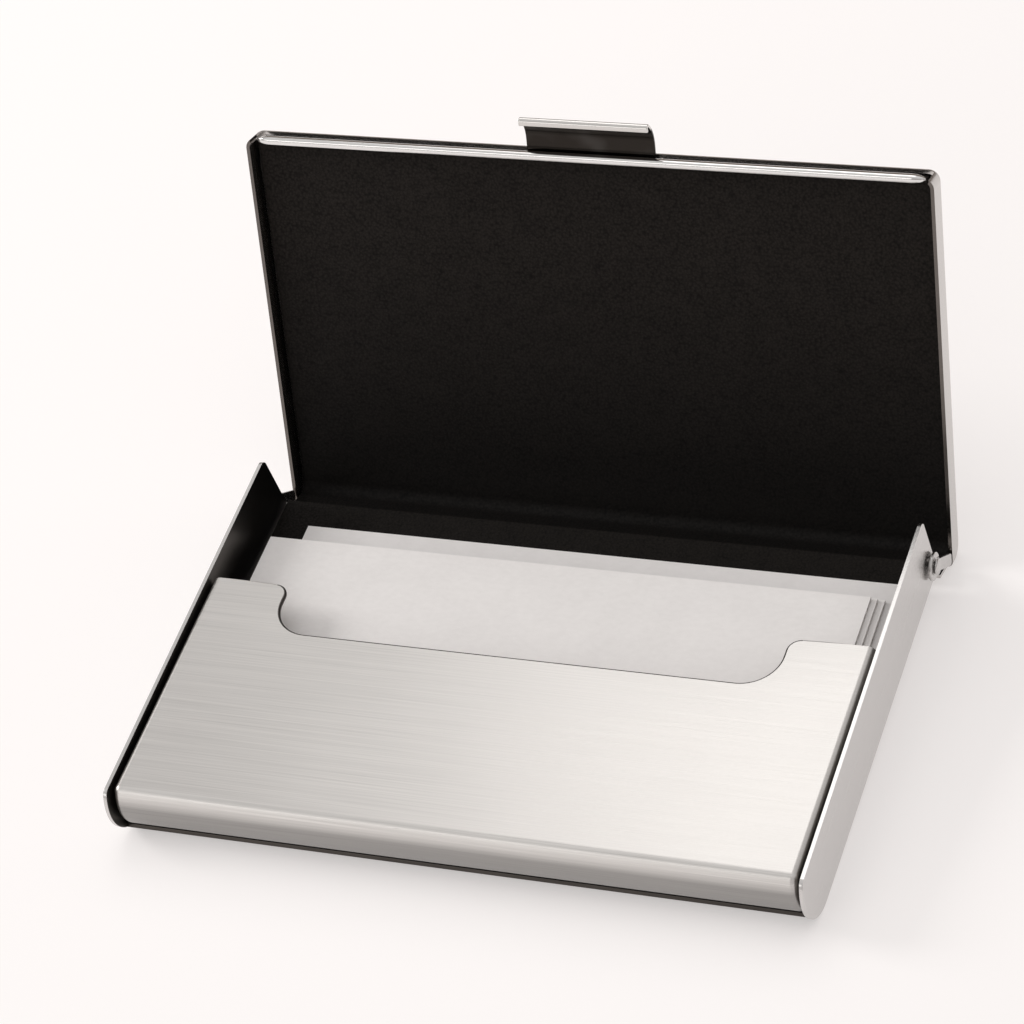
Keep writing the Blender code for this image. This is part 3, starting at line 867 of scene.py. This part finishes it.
def make_groove_leather():
    """The lining's front edge under the rail, on both sides of the thumb catch."""
    low_z = LID_TOP - SHEET - GAP - LID_LINING_THICK
    front = LID_FRONT_Y + SHEET + GAP
    back = LID_FRONT_Y + RAIL_DEPTH + 0.5
    inner = CATCH_WIDTH / 2 + 0.4
    outer = LID_INSIDE - 0.9
    for name, start, stop in (
        ("groove_leather_left", -outer, CATCH_SHIFT - inner),
        ("groove_leather_right", CATCH_SHIFT + inner, outer),
    ):
        strip = box(name, (start, front, low_z), (stop, back, low_z + LID_LINING_THICK))
        soften(strip, STRIP_ROUND)
        strip.data.transform(LID_OPEN)
        smooth(strip)
        place(strip, LINING_LEATHER, "lid", "lid_lining")


def make_floor_leather():
    wide = INSIDE - 0.5
    back = BACK - 0.2
    front = NOSE_Y + 0.6
    low = FLOOR_TOP - FLOOR_THICK

    def face(x, y):
        edge = max(min(wide - abs(x), y - front, back - y), 0.0)
        fade = min(edge / 1.2, 1.0)
        return (x, y, FLOOR_TOP - rolled(edge, FLOOR_ROLL) + (grain(x, y, 31.0) - 0.04) * fade)

    def rear(x, y):
        return (x, y, low)

    columns = stations(-wide, wide, FLOOR_STEP, FLOOR_ROLL)
    rows = stations(front, back, FLOOR_STEP, FLOOR_ROLL)
    floor = slab("floor_leather", columns, rows, face, rear)
    smooth(floor, 60)
    place(floor, STRIP_LEATHER, "base", "floor_lining")


# Cards

def make_cards():
    for node, piece in frame["nodes"].items():
        if node.startswith("card_"):
            piece.data.materials.clear()
            # The rear card takes the darker copy of the stock, painted shade.
            piece.data.materials.append(REAR_SHADED_PAPER if node == "card_rear" else CARD_PAPER)


# Studio

FLOOR_SLOPE = -0.0675
FLOOR_REACH = 4.0
FLOOR_DROP = 0.00006
FLOOR_PAINT = (0.60, 0.581, 0.576)
FLOOR_GLOW = (0.44, 0.4245, 0.419)
SKY_STOPS = [
    (0.0, (0.24, 0.22, 0.21)),
    (0.12, (0.285, 0.265, 0.255)),
    (0.38, (0.52, 0.504, 0.493)),
    (0.64, (0.635, 0.624, 0.614)),
    (1.0, (0.805, 0.79, 0.784)),
]
DUSK = (0.19, 0.157, 0.135)
LAMP_COLOUR = (1.0, 0.985, 0.97)
CAMERA_PLACE = (0.189583, -0.301814, 0.389676)
CAMERA_RIGHT = (0.92543871, 0.31195442, -0.21505262)
CAMERA_DOWN = (0.08896887, -0.73061591, -0.67696745)
CAMERA_AHEAD = (-0.36830386, 0.6073589, -0.70389448)
CAMERA_LENS = 136.897


def make_floor():
    """A pale floor that touches the base's front edge and the open lid's heel."""
    body = bmesh.new()
    corners = [(x * FLOOR_REACH, y * FLOOR_REACH) for x, y in ((-1, -1), (1, -1), (1, 1), (-1, 1))]
    heights = [FLOOR_SLOPE * (y - NOSE_Y * MM) - FLOOR_DROP for _, y in corners]
    body.faces.new([body.verts.new((x, y, z)) for (x, y), z in zip(corners, heights)])
    floor = linked("studio_floor", body)
    made = bpy.data.materials.new("studio_floor")
    made.use_nodes = True
    tree = made.node_tree
    tree.nodes.clear()
    output = tree.nodes.new("ShaderNodeOutputMaterial")
    matt = tree.nodes.new("ShaderNodeBsdfDiffuse")
    matt.inputs["Color"].default_value = (*FLOOR_PAINT, 1.0)
    glow = tree.nodes.new("ShaderNodeEmission")
    glow.inputs["Color"].default_value = (*FLOOR_GLOW, 1.0)
    rays = tree.nodes.new("ShaderNodeLightPath")
    seen = tree.nodes.new("ShaderNodeMath")
    seen.operation = "MAXIMUM"
    tree.links.new(rays.outputs["Is Camera Ray"], seen.inputs[0])
    tree.links.new(rays.outputs["Is Glossy Ray"], seen.inputs[1])
    also = tree.nodes.new("ShaderNodeMath")
    also.operation = "MAXIMUM"
    tree.links.new(seen.outputs["Value"], also.inputs[0])
    tree.links.new(rays.outputs["Is Transmission Ray"], also.inputs[1])
    tree.links.new(also.outputs["Value"], glow.inputs["Strength"])
    both = tree.nodes.new("ShaderNodeAddShader")
    tree.links.new(matt.outputs["BSDF"], both.inputs[0])
    tree.links.new(glow.outputs["Emission"], both.inputs[1])
    tree.links.new(both.outputs["Shader"], output.inputs["Surface"])
    floor.data.materials.append(made)


def make_world():
    """A sky that brightens upwards, with a dim stretch low down behind the case."""
    world = bpy.data.worlds.new("studio")
    bpy.context.scene.world = world
    world.use_nodes = True
    tree = world.node_tree
    back = tree.nodes["Background"]
    place_node = tree.nodes.new("ShaderNodeTexCoord")
    split = tree.nodes.new("ShaderNodeSeparateXYZ")
    tree.links.new(place_node.outputs["Generated"], split.inputs["Vector"])
    ramp = tree.nodes.new("ShaderNodeValToRGB")
    elements = ramp.color_ramp.elements
    for _ in range(len(SKY_STOPS) - 2):
        elements.new(0.5)
    for element, (position, colour) in zip(elements, SKY_STOPS):
        element.position = position
        element.color = (*colour, 1.0)
    tree.links.new(split.outputs["Z"], ramp.inputs["Fac"])
    slope = tree.nodes.new("ShaderNodeMath")
    slope.operation = "MULTIPLY_ADD"
    slope.inputs[1].default_value = -1.2
    tree.links.new(split.outputs["Z"], slope.inputs[0])
    tree.links.new(split.outputs["Y"], slope.inputs[2])
    behind = tree.nodes.new("ShaderNodeMapRange")
    behind.inputs["From Min"].default_value = 0.25
    behind.inputs["From Max"].default_value = 0.6
    tree.links.new(slope.outputs["Value"], behind.inputs["Value"])
    dusk = tree.nodes.new("ShaderNodeMix")
    dusk.data_type = "RGBA"
    dusk.inputs["B"].default_value = (*DUSK, 1.0)
    tree.links.new(behind.outputs["Result"], dusk.inputs["Factor"])
    tree.links.new(ramp.outputs["Color"], dusk.inputs["A"])
    tree.links.new(dusk.outputs["Result"], back.inputs["Color"])
    back.inputs["Strength"].default_value = 1.0


def softbox(name, centre, width, height, radiance):
    """A rectangular lamp that looks at the case."""
    data = bpy.data.lights.new(name, "AREA")
    data.shape = "RECTANGLE"
    data.size = width
    data.size_y = height
    data.energy = radiance * math.pi * width * height
    data.color = LAMP_COLOUR
    lamp = bpy.data.objects.new(name, data)
    lamp.location = centre
    lamp.rotation_euler = (-Vector(centre)).to_track_quat("-Z", "Y").to_euler()
    bpy.context.scene.collection.objects.link(lamp)


def make_camera():
    data = bpy.data.cameras.new("photo_camera")
    data.sensor_width = 36.0
    data.lens = CAMERA_LENS
    data.clip_start = 0.01
    data.clip_end = 20.0
    camera = bpy.data.objects.new("photo_camera", data)
    turn = Matrix((Vector(CAMERA_RIGHT), -Vector(CAMERA_DOWN), -Vector(CAMERA_AHEAD))).transposed()
    camera.matrix_world = Matrix.Translation(CAMERA_PLACE) @ turn.to_4x4()
    bpy.context.scene.collection.objects.link(camera)
    bpy.context.scene.camera = camera


make_camera()
make_floor()
make_world()
softbox("back_softbox", (-0.115, 0.37, 0.50), width=0.26, height=0.40, radiance=1.3)
softbox("key_softbox", (-1.20, 0.05, 0.75), width=0.50, height=0.50, radiance=8.5)
softbox("front_softbox", (-0.42, -0.75, 0.34), width=0.60, height=0.30, radiance=1.3)
make_base()
make_plate()
make_pins()
make_links()
make_lid()
make_rail()
make_catch()
make_lid_leather()
make_groove_leather()
make_floor_leather()
make_cards()
bpy.context.scene.view_settings.view_transform = "Standard"

bpy.context.view_layer.update()
